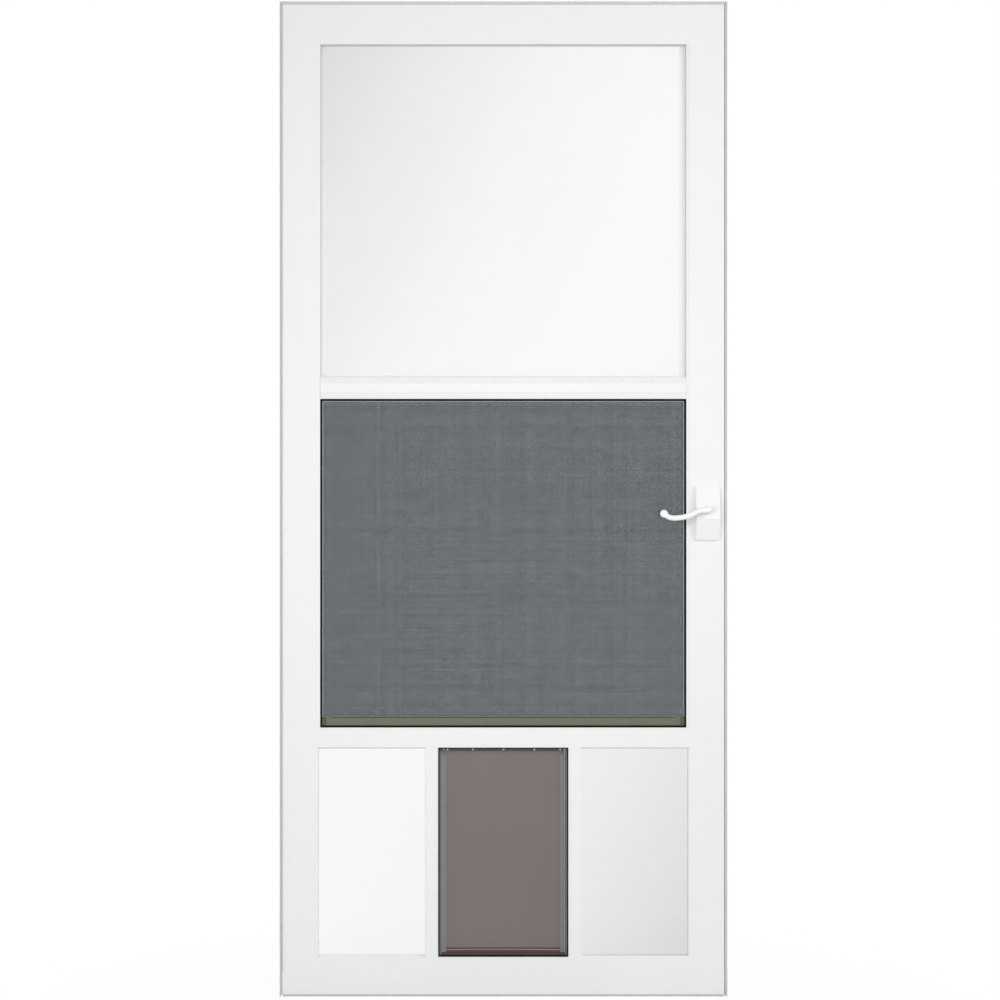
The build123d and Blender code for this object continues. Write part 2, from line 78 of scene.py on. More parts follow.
def srgb(red, green, blue):
    """A colour read as 0 to 255 screen values, turned into the linear values that shaders use."""
    parts = []
    for value in (red, green, blue):
        part = value / 255
        parts.append(part / 12.92 if part <= 0.04045 else ((part + 0.055) / 1.055) ** 2.4)
    return (*parts, 1.0)


def new_finish(name, **inputs):
    """A material with an output and one Principled shader; returns material, tree and shader."""
    material = bpy.data.materials.new(name)
    material.use_nodes = True
    tree = material.node_tree
    tree.nodes.clear()
    shader = add(tree, "BsdfPrincipled", **inputs)
    output = add(tree, "OutputMaterial")
    tree.links.new(shader.outputs["BSDF"], output.inputs["Surface"])
    return material, tree, shader


print("white enamel in linear values:", [round(v, 3) for v in srgb(240, 240, 238)[:3]])

# %% [markdown]
# ## Finishes with grain
#
# Paint, vinyl and metal all vary a little over their surface. One helper mixes two close
# colours by a noise, lets a second noise drive the roughness, and adds a fine bump. The
# noise reads object coordinates, which are metres here, so its scale is a true size: a
# scale of 900 gives grain of about a millimetre. The colour wanders sixty times more slowly.

# %% A grained finish
coarser = 60


def grained(name, colour, variation, roughness, spread, grain, bump, stretch=(1, 1, 1), **inputs):
    """Colour and roughness that wander with two noises, and a bump of a height in metres."""
    material, tree, shader = new_finish(name, **inputs)
    link = tree.links.new
    place = add(tree, "TexCoord")
    mapping = add(tree, "Mapping", Scale=stretch)
    link(place.outputs["Object"], mapping.inputs["Vector"])

    broad = add(tree, "TexNoise", Scale=grain / coarser, Detail=4.0)
    fine = add(tree, "TexNoise", Scale=grain, Detail=3.0)
    link(mapping.outputs["Vector"], broad.inputs["Vector"])
    link(mapping.outputs["Vector"], fine.inputs["Vector"])

    tint = add(tree, "Mix", data_type="RGBA")
    darker = [max(0.0, c - variation) for c in colour[:3]]
    lighter = [min(1.0, c + variation) for c in colour[:3]]
    tint.inputs[6].default_value = (*darker, 1)
    tint.inputs[7].default_value = (*lighter, 1)
    link(broad.outputs["Fac"], tint.inputs[0])
    link(tint.outputs[2], shader.inputs["Base Color"])

    rough = add(tree, "MapRange")
    rough.inputs["To Min"].default_value = roughness - spread
    rough.inputs["To Max"].default_value = roughness + spread
    link(fine.outputs["Fac"], rough.inputs["Value"])
    link(rough.outputs["Result"], shader.inputs["Roughness"])

    relief = add(tree, "Bump", Strength=1.0, Distance=bump)
    link(fine.outputs["Fac"], relief.inputs["Height"])
    link(relief.outputs["Normal"], shader.inputs["Normal"])
    return material


white_enamel = grained("baked_white_enamel", srgb(240, 240, 238), 0.008, 0.34, 0.05, 700, 0.00001)
handle_enamel = grained("gloss_white_handle", srgb(247, 247, 246), 0.004, 0.24, 0.04, 900, 0.000006)
hinge_metal = grained("satin_hinge_aluminium", srgb(190, 192, 194), 0.03, 0.42, 0.06, 900, 0.00001,
                      (1, 1, 0.02), Metallic=0.35)
pin_steel = grained("drawn_pin_steel", srgb(150, 150, 150), 0.03, 0.35, 0.08, 900, 0.00001,
                    (1, 1, 0.02), Metallic=0.9)
lock_steel = grained("zinc_plated_steel", srgb(186, 186, 182), 0.05, 0.36, 0.08, 500, 0.00001,
                     (1, 1, 0.1), Metallic=0.85)
seal_pile = grained("grey_weather_seal", srgb(214, 215, 215), 0.03, 0.9, 0.05, 1500, 0.0002)
glazing_grey = grained("grey_glazing_vinyl", srgb(222, 224, 224), 0.015, 0.6, 0.08, 800, 0.00003)
# The grey glazing vinyl set much lighter: painted light that hides the shade at pane feet.
painted_light_pane_gasket = grained("pale_pane_gasket", srgb(247, 248, 248), 0.01, 0.6, 0.08, 800, 0.00003)
screen_black = grained("black_screen_enamel", srgb(12, 13, 12), 0.002, 0.5, 0.08, 800, 0.00002,
                       Specular_IOR_Level=0.12)
catch_black = grained("dark_moulded_catch", srgb(84, 84, 70), 0.006, 0.5, 0.08, 900, 0.00002)
lift_bronze = grained("olive_bronze_lift_rail", srgb(101, 102, 82), 0.012, 0.4, 0.06, 700, 0.00001,
                      (0.05, 1, 1))
liner_brown = grained("dark_bronze_liner", srgb(18, 15, 14), 0.003, 0.4, 0.07, 700, 0.00001,
                      Specular_IOR_Level=0.15)
flap_vinyl = grained("smoky_flap_vinyl", srgb(117, 108, 105), 0.012, 0.32, 0.07, 300, 0.00006,
                     Specular_IOR_Level=0.35)
flap_edging = grained("grey_flap_edging", srgb(128, 125, 124), 0.015, 0.5, 0.07, 700, 0.00003)
bar_brown = grained("brown_magnet_bar", srgb(75, 60, 57), 0.008, 0.5, 0.07, 700, 0.00003)
# Same white paint as the door, set lighter: painted light for the sash's shade behind glass.
painted_light_sash_enamel = grained("bright_sash_enamel", srgb(250, 250, 249), 0.004, 0.3, 0.05, 700, 0.00001)
print("grained finishes:", sum(1 for m in bpy.data.materials if m.use_nodes))

# %% [markdown]
# ## Clear glass
#
# A storm door's tempered glass is thin, so it hardly bends light. A Glass or Transmission
# shader would darken what stands behind it with few samples, so the pane mixes a transparent
# shader, which lets shadows and light straight through, with a glossy one. Fresnel decides
# how much reflects. Both faces of a real pane reflect, so the index is set a little higher
# than that of glass and only the face that the ray enters by does the reflecting. Without
# that, rays that leave the pane at a slant would be thrown back, and the sash behind it
# would turn dark. The pane's faint grey tint is in the transparent shader, and Light Path
# takes it away for the rays that carry light, so what stands behind the glass keeps its light.
# The upper light has two panes, one behind the other. The lower panes look just as deep in
# the photograph, so each gets the tint and the shine of two.

# %% Glass
def clear_glass(name, index, clearness):
    """Thin clear glass: straight through, less what its face reflects."""
    material = bpy.data.materials.new(name)
    material.use_nodes = True
    tree = material.node_tree
    tree.nodes.clear()
    link = tree.links.new
    through = add(tree, "BsdfTransparent")
    gloss = add(tree, "BsdfGlossy", Roughness=0.01)
    gloss.inputs["Color"].default_value = (1, 1, 1, 1)
    place = add(tree, "TexCoord")
    wave = add(tree, "TexNoise", Scale=3.0, Detail=1.0)
    tint = add(tree, "Mix", data_type="RGBA")
    tint.inputs[6].default_value = (clearness - 0.003, clearness + 0.003, clearness + 0.002, 1)
    tint.inputs[7].default_value = (clearness + 0.003, clearness + 0.01, clearness + 0.009, 1)
    link(place.outputs["Object"], wave.inputs["Vector"])
    link(wave.outputs["Fac"], tint.inputs[0])
    lit = add(tree, "LightPath")
    carries_light = add(tree, "Math", operation="MAXIMUM")
    link(lit.outputs["Is Shadow Ray"], carries_light.inputs[0])
    link(lit.outputs["Is Diffuse Ray"], carries_light.inputs[1])
    clear = add(tree, "Mix", data_type="RGBA")
    clear.inputs[7].default_value = (1, 1, 1, 1)
    link(carries_light.outputs["Value"], clear.inputs[0])
    link(tint.outputs[2], clear.inputs[6])
    link(clear.outputs[2], through.inputs["Color"])

    fresnel = add(tree, "Fresnel", IOR=index)
    side = add(tree, "NewGeometry")
    entering = add(tree, "Math", operation="SUBTRACT", use_clamp=True)
    entering.inputs[0].default_value = 1.0
    link(side.outputs["Backfacing"], entering.inputs[1])
    reflecting = add(tree, "Math", operation="SUBTRACT", use_clamp=True)
    link(entering.outputs["Value"], reflecting.inputs[0])
    link(carries_light.outputs["Value"], reflecting.inputs[1])
    share = add(tree, "Math", operation="MULTIPLY")
    link(fresnel.outputs["Fac"], share.inputs[0])
    link(reflecting.outputs["Value"], share.inputs[1])
    mix = add(tree, "MixShader")
    link(share.outputs["Value"], mix.inputs["Fac"])
    link(through.outputs["BSDF"], mix.inputs[1])
    link(gloss.outputs["BSDF"], mix.inputs[2])
    output = add(tree, "OutputMaterial")
    link(mix.outputs["Shader"], output.inputs["Surface"])
    return material


single_index, double_index = 1.75, 2.08
single_clearness, double_clearness = 0.935, 0.864
glass = clear_glass("clear_tempered_glass", single_index, single_clearness)
deep_glass = clear_glass("clear_double_glass", double_index, double_clearness)
print("glass: mixed by Fresnel at index", single_index, "and", double_index, "for the lower panes")

# %% [markdown]
# ## Dress the CAD pieces
#
# Each CAD piece keeps its shape and gets the finish of its material slot. A table from slot
# to finish does the whole door in one go, and a missing slot would show up at once.

# %% Assign finishes
finishes = {
    "white_enamel": white_enamel, "hinge_satin": hinge_metal, "pin_steel": pin_steel,
    "seal_pile": seal_pile, "clear_glass": glass, "glazing_grey": glazing_grey,
    "screen_black": screen_black, "screen_weave": screen_black, "lift_bronze": lift_bronze,
    "catch_black": catch_black, "liner_brown": liner_brown, "flap_vinyl": flap_vinyl,
    "flap_edging": flap_edging, "flap_bar_brown": bar_brown, "handle_white": handle_enamel,
    "lock_steel": lock_steel,
}
for subpart in frame["record"]["subparts"]:
    mesh = nodes[subpart["node"]].data
    mesh.materials.clear()
    mesh.materials.append(finishes[subpart["material_slot"]])
# The vent sash and the lower gaskets get lighter copies of their finishes here: painted light.
nodes["vent_sash"].data.materials[0] = painted_light_sash_enamel
nodes["lower_gaskets"].data.materials[0] = painted_light_pane_gasket
for name in ("left_pane", "right_pane"):
    nodes[name].data.materials[0] = deep_glass

# %% [markdown]
# ## The insect screen's weave
#
# The screen is a charcoal sun-and-insect fabric: flat glass-fibre strands close together, so
# it reads as a grey veil from a few metres. The CAD holds a plain sheet in its place. Here
# each strand is a thin strip of its own, laid at the real pitch, the upright ones in front of
# the level ones by their own thickness. A texture would do from far away, but real strands
# also hold up close, and light passes between them by itself. No two strands are quite as
# wide, and their grey wanders along them over some centimetres, which together give the
# cloth its faint level streaks.

# %% Weave
strand_pitch = 0.0013
strand_w = 0.00095
strand_t = 0.0001


def strand(mesh, x0, x1, y0, y1, z0, z1):
    """A strip with four sides, open at its two ends, along its longer direction."""
    if x1 - x0 > z1 - z0:
        ends = [[(x, y0, z0), (x, y1, z0), (x, y1, z1), (x, y0, z1)] for x in (x0, x1)]
    else:
        ends = [[(x0, y0, z), (x0, y1, z), (x1, y1, z), (x1, y0, z)] for z in (z0, z1)]
    rings = [[mesh.verts.new(point) for point in ring] for ring in ends]
    for i in range(4):
        j = (i + 1) % 4
        mesh.faces.new((rings[0][i], rings[0][j], rings[1][j], rings[1][i]))


def link_piece(name, mesh, material, body):
    """Turn a bmesh into an object that rides on a body, with its finish and slot."""
    bmesh.ops.recalc_face_normals(mesh, faces=mesh.faces)
    data = bpy.data.meshes.new(name)
    mesh.to_mesh(data)
    mesh.free()
    data.materials.append(material)
    piece = bpy.data.objects.new(name, data)
    bpy.context.scene.collection.objects.link(piece)
    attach(piece, body)
    return piece


low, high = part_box("screen_mesh")
middle = (low.y + high.y) / 2
loom = random.Random(17)
uneven = 0.08
cloth = bmesh.new()
for start, end, upright in ((low.x, high.x, True), (low.z, high.z, False)):
    count = int((end - start - strand_w) / strand_pitch)
    margin = (end - start - count * strand_pitch - strand_w) / 2
    for i in range(count + 1):
        a = start + margin + i * strand_pitch
        b = a + strand_w * (1 + uneven * (loom.random() - 0.5) * 2)
        b = min(b, end)
        if upright:
            strand(cloth, a, b, middle - strand_t, middle, low.z, high.z)
        else:
            strand(cloth, low.x, high.x, middle, middle + strand_t, a, b)
along_strands = (0.12, 1, 1)
weave_grey = grained("charcoal_screen_strands", srgb(62, 72, 74), 0.026, 0.6, 0.08, 12000, 0.000002,
                     along_strands)
screen_weave = link_piece("screen_weave", cloth, weave_grey, "leaf")
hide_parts("screen_mesh")
print("weave:", len(screen_weave.data.polygons), "faces, pitch", strand_pitch * 1000, "mm")

# %% [markdown]
# ## The spline round the weave
#
# The cloth is held by a soft grey cord, rolled into the frame's groove on top of the weave.
# From the front it is a thin pale line just inside the black bars, on three sides. A bevelled
# curve would do, but a round bar in mesh code lets its ends stop square on the corners.

# %% Spline
def round_bar(mesh, start, end, radius, sides=10):
    """A straight soft cord between two points, closed at both ends."""
    start, end = Vector(start), Vector(end)
    along = (end - start).normalized()
    across = along.orthogonal().normalized()
    beside = along.cross(across)
    rings = []
    for at in (start, end):
        ring = []
        for i in range(sides):
            angle = 2 * math.pi * i / sides
            spoke = across * math.cos(angle) + beside * math.sin(angle)
            ring.append(mesh.verts.new(at + spoke * radius))
        rings.append(ring)
    for i in range(sides):
        j = (i + 1) % sides
        mesh.faces.new((rings[0][i], rings[0][j], rings[1][j], rings[1][i]))
    mesh.faces.new(rings[0])
    mesh.faces.new(rings[1])


spline_r = 0.00095
proud, inset = spline_r * 0.6, spline_r * 0.4
spline_y = middle - strand_t - proud
left, right, top = low.x + inset, high.x - inset, high.z - inset
cords = bmesh.new()
round_bar(cords, (left, spline_y, low.z), (left, spline_y, top), spline_r)
round_bar(cords, (right, spline_y, low.z), (right, spline_y, top), spline_r)
round_bar(cords, (left, spline_y, top), (right, spline_y, top), spline_r)
spline_grey = grained("grey_screen_spline", srgb(192, 194, 193), 0.02, 0.6, 0.06, 1200, 0.00003)
link_piece("screen_spline", cords, spline_grey, "leaf")
print("spline:", round(spline_r * 2000, 1), "mm thick")

# %% [markdown]
# ## Pile strips in the gaps
#
# A slim frame of this kind closes on soft pile: a woven backing with a dense brush of short
# fibres. It fills the gap beside the latch stile and over the top rail, and the pet opening
# has a darker one on its sides and sill, so no daylight shows there. Single hairs would be
# far too fine for this distance, so each strip is a row of small tufts of slightly different
# lengths, with a fine noise in its finish for the fibres.

# %% Pile strips
tuft_w = 0.0032
jamb_web = 0.0014


def pile_strip(mesh, start, along, length, out, reach, depth, seed, ragged=0.05):
    """Tufts side by side along a line, standing out from their backing by about the reach."""
    tufts = random.Random(seed)
    along, out, start = Vector(along), Vector(out), Vector(start)
    inward = Vector((0, 1, 0))
    count = max(1, round(length / tuft_w))
    step = length / count
    profile = ((0.0, 0.0), (0.62, 0.0), (0.9, 0.18), (1.0, 0.5), (0.9, 0.82), (0.62, 1.0),
               (0.0, 1.0))
    for i in range(count):
        tall = reach * (1 - ragged * tufts.random())
        rings = []
        for at in (start + along * (i * step), start + along * ((i + 1) * step)):
            rings.append([mesh.verts.new(at + out * tall * u + inward * depth * v)
                          for u, v in profile])
        for j in range(len(profile)):
            k = (j + 1) % len(profile)
            mesh.faces.new((rings[0][j], rings[0][k], rings[1][k], rings[1][j]))
        mesh.faces.new(rings[0])
        mesh.faces.new(rings[1])


_, jamb_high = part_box("latch_jamb")
_, stile_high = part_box("latch_stile")
_, head_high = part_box("head_jamb")
pile_foot = 0.002
pile_off = 0.0007
head_pile_off = 0.0002
pile_front = 0.0012
gap_pile_depth = 0.0055
even = 0.02
web_x = jamb_high.x - jamb_web
web_z = head_high.z - jamb_web
gap_pile = bmesh.new()
pile_strip(gap_pile, (web_x, pile_front, pile_foot), (0, 0, 1), stile_high.z - pile_foot,
           (-1, 0, 0), web_x - stile_high.x - pile_off, gap_pile_depth, 3, even)
pile_strip(gap_pile, (jamb_web, pile_front, web_z), (1, 0, 0), web_x - jamb_web, (0, 0, -1),
           web_z - stile_high.z - head_pile_off, gap_pile_depth, 5, even)
link_piece("jamb_gap_pile", gap_pile, seal_pile, "frame")

liner_low, liner_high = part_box("pet_door_liner")
flap_low, flap_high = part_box("flap_panel")
clamp_low, clamp_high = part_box("flap_clamp_bar")
liner_t = 0.0022
inner_x0, inner_x1 = liner_low.x + liner_t, liner_high.x - liner_t
sill_z = liner_low.z + liner_t
flap_off = 0.0002
sill_off = 0.0001
flap_mid_y = (flap_low.y + flap_high.y) / 2
flap_pile_depth = 0.005
side_reach = flap_low.x - inner_x0 - flap_off
sill_reach = flap_low.z - sill_z - sill_off
front_y = flap_mid_y - flap_pile_depth / 2
side_len = clamp_low.z - sill_z - flap_off
side_pile = bmesh.new()
pile_strip(side_pile, (inner_x0, front_y, sill_z), (0, 0, 1), side_len, (1, 0, 0), side_reach,
           flap_pile_depth, 7)
pile_strip(side_pile, (inner_x1, front_y, sill_z), (0, 0, 1), side_len, (-1, 0, 0), side_reach,
           flap_pile_depth, 9)
side_pile_grey = grained("grey_flap_side_pile", srgb(138, 134, 133), 0.03, 0.9, 0.05, 1500, 0.0002)
link_piece("flap_side_pile", side_pile, side_pile_grey, "leaf")
sill_pile = bmesh.new()
sill_len = inner_x1 - inner_x0 - 2 * side_reach
pile_strip(sill_pile, (inner_x0 + side_reach, front_y, sill_z), (1, 0, 0), sill_len, (0, 0, 1),
           sill_reach, flap_pile_depth, 11, even / 2)
# The bar's brown set lighter: painted light against the deep shade at the sill.
sill_pile_lightened_brown = grained("lightened_brown_sill_pile", srgb(104, 84, 80), 0.015, 0.9, 0.05, 1500, 0.0002)
link_piece("flap_sill_pile", sill_pile, sill_pile_lightened_brown, "leaf")
print("pile: gap", round((web_x - stile_high.x - pile_off) * 1000, 1), "mm,",
      "flap", round(side_reach * 1000, 1), "mm")

# %% [markdown]
# ## Screws
#
# The jambs are held by screws in their holes behind the stop, the two hinge flaps by a row of
# flat ones, and the lock's face, its strike and the inside plate by two each. A screw head is
# a turned form with a cross cut into it. Turning a short profile gives the dome, and its top
# gets the recess as four slots, which is enough at this size. The holes' places come from the
# record's mounts, and the others from the boxes of the pieces that they hold.

# %% Screw head
cross_tip, cross_root, cross_deep = 0.3, 0.12, 0.45


def add_screw(mesh, at, out, radius=0.0040, height=0.0022, turn=0.3, sides=24):
    """One domed head with a cross recess, standing on a surface and facing out."""
    out = Vector(out).normalized()
    across = out.orthogonal().normalized()
    beside = out.cross(across)

    def point(spoke_len, lift, angle):
        spoke = across * math.cos(angle) + beside * math.sin(angle)
        return mesh.verts.new(Vector(at) + spoke * spoke_len * radius + out * lift * height)

    angles = [turn + 2 * math.pi * i / sides for i in range(sides)]
    dome = [(1.0, 0.0), (1.0, 0.25), (0.93, 0.55), (0.78, 0.8), (0.55, 0.95), (0.34, 1.0)]
    rings = [[point(wide, lift, angle) for angle in angles] for wide, lift in dome]
    rings.append([point(cross_root if i % (sides // 4) else cross_tip, cross_deep, angle)
                  for i, angle in enumerate(angles)])
    for outer, inner in zip(rings, rings[1:]):
        for i in range(sides):
            j = (i + 1) % sides
            mesh.faces.new((outer[i], outer[j], inner[j], inner[i]))
    mesh.faces.new(rings[-1])


# %% Jamb screws
heads = bmesh.new()
holes = 0
for mount in frame["record"]["mounts"]:
    if mount["kind"] != "bolt_pattern":
        continue
    centre, out = Vector(mount["pos_m"]), -Vector(mount["axis"])
    half = (mount["dims"].get("spacing_y_mm") or mount["dims"].get("spacing_x_mm")) / 2000
    along = Vector((1, 0, 0)) if abs(out.z) > 0.5 else Vector((0, 0, 1))
    for side in (-1, 1):
        add_screw(heads, centre + along * half * side + out * jamb_web / 2, out, turn=0.3 + holes)
        holes += 1
link_piece("jamb_screws", heads, lock_steel, "frame")
print("jamb screws:", holes)

# %% Hinge screws
flat_r, flat_h = 0.0032, 0.0005
jamb_flap_low, jamb_flap_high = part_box("jamb_hinge_flap")
_, leaf_flap_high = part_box("leaf_hinge_flap")
flap_leaf_t = 0.001
screw_y = jamb_flap_high.y - 0.009
lowest_screw = 0.085
step = 0.25
per_jamb = 8
on_jamb, on_leaf = bmesh.new(), bmesh.new()
for i in range(per_jamb):
    z = lowest_screw + i * step
    at = (jamb_flap_low.x + flap_leaf_t, screw_y, z)
    add_screw(on_jamb, at, (1, 0, 0), flat_r, flat_h, turn=i)
    if i < per_jamb - 1:
        at = (leaf_flap_high.x - flap_leaf_t, screw_y, z + step / 2)
        add_screw(on_leaf, at, (-1, 0, 0), flat_r, flat_h, turn=i)
print("hinge screws:", per_jamb, "on the jamb,", per_jamb - 1, "on the leaf, at", step * 1000, "mm")

# %% Lock, strike and plate screws
lock_end, strike_end, plate_end = 0.007, 0.010, 0.012
strike_low, strike_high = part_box("strike_plate")
lock_low, lock_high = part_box("lock_case")
plate_low, plate_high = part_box("inside_plate")
lock_y = (lock_low.y + lock_high.y) / 2
plate_x = (plate_low.x + plate_high.x) / 2
for lock_z, strike_z in ((lock_low.z + lock_end, strike_low.z + strike_end),
                         (lock_high.z - lock_end, strike_high.z - strike_end)):
    add_screw(on_leaf, (lock_high.x, lock_y, lock_z), (1, 0, 0), flat_r, flat_h, turn=lock_z * 50)
    add_screw(on_jamb, (strike_low.x, lock_y, strike_z), (-1, 0, 0), flat_r, flat_h,
              turn=lock_z * 90)
plate_screw_r, plate_screw_h, sunk = 0.0034, 0.0016, 0.0002
for z, depth, tilt in ((plate_low.z + plate_end, 0.0091, -0.093),
                       (plate_high.z - plate_end, 0.0088, 0.073)):
    at = (plate_x, plate_low.y + depth - sunk, z)
    add_screw(on_leaf, at, (0, 1, tilt), plate_screw_r, plate_screw_h, turn=z * 40)
link_piece("jamb_side_screws", on_jamb, lock_steel, "frame")
link_piece("leaf_side_screws", on_leaf, lock_steel, "leaf")
print("two screws each on lock, strike and inside plate")

# %% [markdown]
# ## Rivets on the flap's clamp
#
# The flap hangs from a dark clamp bar, fixed by small rivets: two near each end and three between
# them. They sit on the bar's front, turned like the screws but with no recess. Their near-white
# matt colour paints the glint of steel and lifts them out of the shade under the liner's head.

# %% Rivets
rivet_r = 0.0022
rivet_h = 0.0016
rivet_xs = (0.334968, 0.342108, 0.394332, 0.456756, 0.5202, 0.57324, 0.581808)
rivet_sides = 16
rivets = bmesh.new()
for x in rivet_xs:
    centre = Vector((x, clamp_low.y, (clamp_low.z + clamp_high.z) / 2))
    rings = []
    for radius, height in ((1.0, 0.0), (0.95, 0.45), (0.7, 0.85), (0.35, 1.0)):
        ring = []
        for i in range(rivet_sides):
            angle = 2 * math.pi * i / rivet_sides
            wide = radius * rivet_r
            spoke = Vector((math.cos(angle) * wide, -height * rivet_h, math.sin(angle) * wide))
            ring.append(rivets.verts.new(centre + spoke))
        rings.append(ring)
    for outer, inner in zip(rings, rings[1:]):
        for i in range(rivet_sides):
            j = (i + 1) % rivet_sides
            rivets.faces.new((outer[i], outer[j], inner[j], inner[i]))
    rivets.faces.new(rings[-1])
# Near-white and unmetallic: a painted glint, not the steel's own colour.
rivet_glint_finish = grained("rivet_painted_glint", srgb(252, 250, 245), 0.01, 0.3, 0.05, 900, 0.00001)
clamp_bronze = grained("olive_clamp_bar", srgb(92, 82, 70), 0.01, 0.4, 0.07, 700, 0.00001)
nodes["flap_clamp_bar"].data.materials[0] = clamp_bronze
link_piece("clamp_rivets", rivets, rivet_glint_finish, "leaf")
print("rivets:", len(rivet_xs), "of", rivet_r * 2000, "mm")

# %% [markdown]
# ## Painted shade over the lower panes
#
# The head of each lower pane, right under the cross rail, lies in shade. A darker grey strip paints
# that shade. It is too slim for the CAD: a strip under two millimetres high, as deep as the rail's
# wall.

# %% Pane shade strips
shade_strip_h = 0.0016
shade_strip_front, shade_strip_back = 0.0003, 0.0015
cross_low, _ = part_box("cross_rail")
hinge_side, latch_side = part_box("hinge_stile")[1].x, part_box("latch_stile")[0].x
mullion_left, mullion_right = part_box("left_mullion")[0].x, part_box("right_mullion")[1].x
shade_strip_spans = ((hinge_side, mullion_left), (mullion_right, latch_side))
shade_strips = bmesh.new()
for x0, x1 in shade_strip_spans:
    corners = bmesh.ops.create_cube(shade_strips, size=1.0)["verts"]
    for vert in corners:
        vert.co = Vector(((x0 + x1) / 2 + vert.co.x * (x1 - x0),
                          shade_strip_front if vert.co.y < 0 else shade_strip_back,
                          cross_low.z - shade_strip_h / 2 + vert.co.z * shade_strip_h))
# A darker copy of the glazing grey: painted shade under the cross rail.
shade_strip_grey = grained("painted_shade_pane_strip", srgb(176, 178, 178), 0.02, 0.6, 0.08, 900, 0.00002)
link_piece("pane_shade_strips", shade_strips, shade_strip_grey, "leaf")
print("pane shade strips:", [round((x1 - x0) * 1000) for x0, x1 in shade_strip_spans], "mm long")

# %% [markdown]
# ## Bead over the flap's bottom bar
#
# The magnet bar at the flap's foot carries a thin lighter tan bead near its top edge. The bead bows
# up a little in its middle, because the vinyl has shrunk round it. It is a short sweep: a small
# ring of points is carried along a shallow arc, on both faces of the flap.

# %% Bar bead
bead_r = 0.0009
bead_bow = 0.0008
bead_drop = 0.0042
bead_end = 0.0006
bead_steps, bead_sides = 32, 8
bars_low, bars_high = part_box("flap_bottom_bars")
beads = bmesh.new()
for face_y in (bars_low.y, bars_high.y):
    rings = []
    for i in range(bead_steps + 1):
        u = i / bead_steps
        x = bars_low.x + bead_end + (bars_high.x - bars_low.x - 2 * bead_end) * u
        z = bars_high.z - bead_drop + bead_bow * 4 * u * (1 - u)
        y = face_y + (bead_r if face_y < flap_mid_y else -bead_r) * 0.4
        ring = []
        for j in range(bead_sides):
            angle = 2 * math.pi * j / bead_sides
            round_y, round_z = bead_r * math.cos(angle), bead_r * math.sin(angle)
            ring.append(beads.verts.new((x, y + round_y, z + round_z)))
        rings.append(ring)
    for near, far in zip(rings, rings[1:]):
        for j in range(bead_sides):
            k = (j + 1) % bead_sides
            beads.faces.new((near[j], near[k], far[k], far[j]))
    beads.faces.new(rings[0])
    beads.faces.new(rings[-1])
bead_tan = grained("tan_bar_bead", srgb(172, 154, 146), 0.015, 0.45, 0.06, 900, 0.00001)
link_piece("bar_bead", beads, bead_tan, "pet_flap")
bead_len = bars_high.x - bars_low.x - 2 * bead_end
print("bead bows", bead_bow * 1000, "mm over", round(bead_len * 1000), "mm")

# %% [markdown]
# ## Slots of the screen's catches
#
# Each end of the lift rail holds a small sliding catch, with three shallow slots where the
# fingertip grips it. The slots read dark because shade fills them. Black strips a hair proud of the
# catch, with ends that round over, paint that shade.

# %% Painted shade in the catch slots
slot_w, slot_h, slot_proud = 0.0030, 0.0018, 0.0002
slot_shift = 0.0012
levels = (0.22, 0.5, 0.78)
catch_low, catch_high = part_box("screen_catches")
rail_low, rail_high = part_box("screen_lift_rail")
catch_xs = ((catch_low.x + rail_low.x) / 2 + slot_shift,
            (catch_high.x + rail_high.x) / 2 - slot_shift)
slots = bmesh.new()
for catch_x in catch_xs:
    for level in levels:
        z = catch_low.z + (catch_high.z - catch_low.z) * level
        rim = []
        for i in range(12):
            angle = 2 * math.pi * i / 12
            wide = slot_w / 2 * math.copysign(abs(math.cos(angle)) ** 0.5, math.cos(angle))
            tall = slot_h / 2 * math.copysign(abs(math.sin(angle)) ** 0.5, math.sin(angle))
            rim.append((catch_x + wide, z + tall))
        front = [slots.verts.new((x, catch_low.y - slot_proud, z)) for x, z in rim]
        back = [slots.verts.new((x, catch_low.y + slot_proud, z)) for x, z in rim]
        slots.faces.new(front)
        for i in range(12):
            j = (i + 1) % 12
            slots.faces.new((front[i], front[j], back[j], back[i]))
# The black enamel here is painted shade in the slots, not the catch's colour.
link_piece("catch_slot_shade", slots, screen_black, "leaf")
print("catch slots:", len(catch_xs) * len(levels))

# %% [markdown]
# ## Groove of the lift rail
#
# The cloth's foot is rolled into a groove along the top of the lift rail. From the front the groove
# is one dark line of shade between the two catches. The CAD rail is plain there, so a dark strip of
# its own, a hair proud of the rail's face, paints that shade.

# %% Painted groove shade
groove_h = 0.0012
groove_drop = 0.0022
groove_x0 = catch_low.x + (rail_low.x - catch_low.x) * 2
groove_x1 = catch_high.x + (rail_high.x - catch_high.x) * 2
groove_z = rail_high.z - groove_drop
groove = bmesh.new()
bmesh.ops.create_cube(groove, size=1.0)
for vert in groove.verts:
    vert.co = Vector(((groove_x0 + groove_x1) / 2 + vert.co.x * (groove_x1 - groove_x0),
                      rail_low.y + vert.co.y * 2 * slot_proud, groove_z + vert.co.z * groove_h))
# A dark strip that paints the shade inside the groove.
groove_shade_finish = grained("painted_rail_groove_shade", srgb(50, 52, 44), 0.006, 0.6, 0.08, 700, 0.00002,
                      Specular_IOR_Level=0.2)
link_piece("lift_rail_groove_shade", groove, groove_shade_finish, "leaf")
print("groove:", round((groove_x1 - groove_x0) * 1000), "mm long")

# %% [markdown]
# ## Floor and backdrop
#
# The door is shown against plain white. The world is white for what the camera sees, straight
# or through glass or a mirror, and a plain grey for the light that it sheds. The floor is a
# pale matt disc that fades out around the door's foot. The camera sees it nearly white, so it
# takes only the faintest shadow, and the glass doesn't reflect it.

